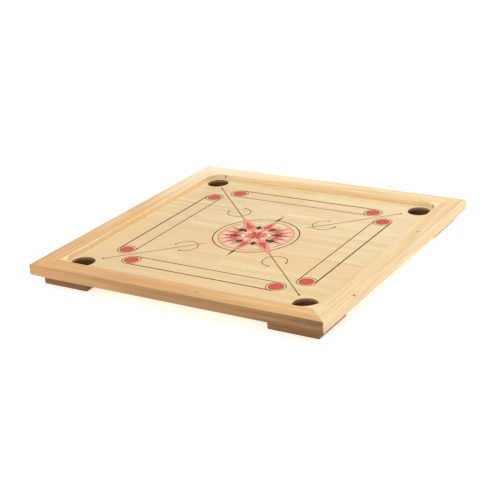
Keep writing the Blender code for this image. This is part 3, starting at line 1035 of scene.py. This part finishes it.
def draw_petal_eyes(shape):
    for step in (2, 3, 6, 7):
        inner, belly, *_ = LONG_HEART if step % 2 else SHORT_HEART
        centre = polar((inner + belly) / 2 * SIDE, step * EIGHTH)
        band(shape, centre, 0.0045 * SIDE, 0.8 * MM, 24)


def draw_flower(shape):
    for step in range(8):
        leaf(shape, LONG_LEAF if step % 2 else SHORT_LEAF, step * EIGHTH)
    flat_circle(shape, 0.0150 * SIDE, (0, 0), 32, filled=True)


def draw_flower_eyes(shape):
    for step in SHIELD_STEPS:
        band(shape, polar(0.0195 * SIDE, step * EIGHTH), 0.0060 * SIDE, 1.2 * MM, 24)


print_colour("print_lozenge_grounds", "cream", 1, lambda s: leaves(s, LOZENGE_GROUND, OLIVE_STEPS))
print_colour("print_lozenge_frames", "olive", 5,
             lambda s: leaves(s, LOZENGE_FRAME, EVERY_HALF, LOZENGE_LINE))
print_colour("print_lozenges_wine", "wine", 6, lambda s: leaves(s, LOZENGE, WINE_STEPS))
print_colour("print_lozenges_olive", "olive", 6, lambda s: leaves(s, LOZENGE, OLIVE_STEPS))
print_colour("print_pointers", "brown", 4.5, lambda s: leaves(s, POINTER, POINTER_STEPS))
print_colour("print_shields", "cream", 6.5, lambda s: leaves(s, SHIELD, SHIELD_STEPS))
print_colour("print_shield_rims", "brown", 7, lambda s: leaves(s, SHIELD, SHIELD_STEPS, SHIELD_LINE))
print_colour("print_petal_eyes", "cream", 5.5, draw_petal_eyes)
print_colour("print_flower", "red", 7.5, draw_flower)
print_colour("print_flower_eyes", "blush", 8, draw_flower_eyes)

# %% [markdown]
# ## Blocks, braces and pocket floors
# These solids already have the right shape, with bores, shoulders and countersinks. What a workshop
# adds is a softened edge. A copy of each solid is welded, its flat faces are dissolved into one, and
# only its sharp edges are bevelled.

# %% Soften a copy of a solid
def softened(node, name, material, width):
    shape = bmesh.new()
    shape.from_mesh(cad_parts[node].data)
    bmesh.ops.remove_doubles(shape, verts=shape.verts, dist=0.001 * MM)
    bmesh.ops.dissolve_limit(shape, angle_limit=math.radians(1), verts=shape.verts, edges=shape.edges)
    sharp = [e for e in shape.edges if len(e.link_faces) == 2 and e.calc_face_angle(0) > math.radians(35)]
    bmesh.ops.bevel(shape, geom=sharp, offset=width, segments=2, profile=0.5, affect="EDGES",
                    material=-1, clamp_overlap=True)
    return finish_piece(name, shape, material, [node])


for corner in CORNERS:
    block = softened(f"corner_block_{corner}", f"pocket_block_{corner}", WOODS["block"],
                     0.3 * MM)
    disc = softened(f"pocket_floor_{corner}", f"floor_disc_{corner}", WOODS["floor"],
                    0.2 * MM)
    print(block.name, len(block.data.polygons), "faces;", disc.name, len(disc.data.polygons), "faces")
for node, wooden in (("brace_across", "pine_x"), ("brace_lengthways", "pine_y")):
    brace = softened(node, f"{node}_planed", WOODS[wooden], 0.3 * MM)
    print(brace.name, len(brace.data.polygons), "faces")

# %% [markdown]
# ## Pieces that stay as they are
# The screws and the hidden mitre tongues keep the design's own solids. They only take a material.

# %% Give the rest their material
def give(node, material):
    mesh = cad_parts[node].data
    mesh.materials.clear()
    mesh.materials.append(material)


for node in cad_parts:
    if "screw" in node:
        give(node, ZINC)
    elif node.startswith("mitre_tongue"):
        give(node, WOODS["ply"])

# %% [markdown]
# ## Studio
# The board lies on a white table that glows a little, which keeps the shadow under it pale. A large
# soft light stands behind to the right, and its reflection in the lacquer makes the wood look silky.
# Others fill from above, from the left and from the front, and the sky gives the rest.

# %% Floor and lights
def make_floor():
    made, tree, shader = surface("studio_floor", roughness=0.9)
    shader.inputs["Base Color"].default_value = (0.84, 0.84, 0.84, 1)
    shader.inputs["Specular IOR Level"].default_value = 0.1
    shader.inputs["Emission Color"].default_value = (1, 1, 1, 1)
    shader.inputs["Emission Strength"].default_value = 0.54
    shape = bmesh.new()
    bmesh.ops.create_grid(shape, x_segments=1, y_segments=1, size=20)
    mesh = bpy.data.meshes.new("studio_floor")
    shape.to_mesh(mesh)
    shape.free()
    mesh.materials.append(made)
    floor = bpy.data.objects.new("studio_floor", mesh)
    bpy.context.scene.collection.objects.link(floor)


def soft_light(name, place, size, power):
    """A rectangular light that faces the middle of the board."""
    data = bpy.data.lights.new(name, "AREA")
    data.shape = "RECTANGLE"
    data.size, data.size_y = size
    data.energy = power
    lamp = bpy.data.objects.new(name, data)
    lamp.location = place
    lamp.rotation_euler = (-Vector(place)).to_track_quat("-Z", "Y").to_euler()
    bpy.context.scene.collection.objects.link(lamp)


def make_sky(strength):
    world = bpy.data.worlds.new("studio")
    world.use_nodes = True
    back = world.node_tree.nodes["Background"]
    back.inputs["Color"].default_value = (1, 1, 1, 1)
    back.inputs["Strength"].default_value = strength
    bpy.context.scene.world = world


LIGHTS = {  # place, size and power
    "back_right": ((1.0, 3.2, 1.5), (2.6, 1.8), 54),
    "overhead": ((0.2, 0.4, 2.6), (2.4, 2.4), 28),
    "left_fill": ((-1.7, -1.5, 0.8), (1.4, 1.0), 2.5),
    "front_fill": ((-0.2, -2.6, 1.3), (2.0, 1.0), 18),
}
make_floor()
for name, light in LIGHTS.items():
    soft_light(name, *light)
make_sky(0.62)

# %% [markdown]
# ## Camera
# The view is from the front right, looking down by about 22 degrees, with the camera rolled a few
# degrees. Azimuth, elevation and roll give the directions of its axes. Its place is given in sides of
# the board from the middle of the frame's top, so the view would hold for a board of any size.

# %% Camera
AZIMUTH, ELEVATION, ROLL = (math.radians(a) for a in (32.37, 22.16, -3.817))
CAMERA_AT = Vector((1.86432, -2.98226, 1.36825))


def make_camera():
    data = bpy.data.cameras.new("camera")
    data.sensor_width = 36
    data.lens = 87.04
    camera = bpy.data.objects.new("camera", data)
    bpy.context.scene.collection.objects.link(camera)
    back = Vector((math.sin(AZIMUTH) * math.cos(ELEVATION), -math.cos(AZIMUTH) * math.cos(ELEVATION),
                   math.sin(ELEVATION)))
    across = Vector((math.cos(AZIMUTH), math.sin(AZIMUTH), 0))
    turn_to = Matrix((across, back.cross(across), back)).transposed()
    turn_to = turn_to @ Matrix.Rotation(ROLL, 3, "Z")
    place = CAMERA_AT * SIDE + Vector((0, 0, TOP_Z))
    camera.matrix_world = Matrix.Translation(place) @ turn_to.to_4x4()
    bpy.context.scene.camera = camera
    print("camera", [round(v, 4) for v in place])


make_camera()
bpy.context.scene.view_settings.view_transform = "Standard"
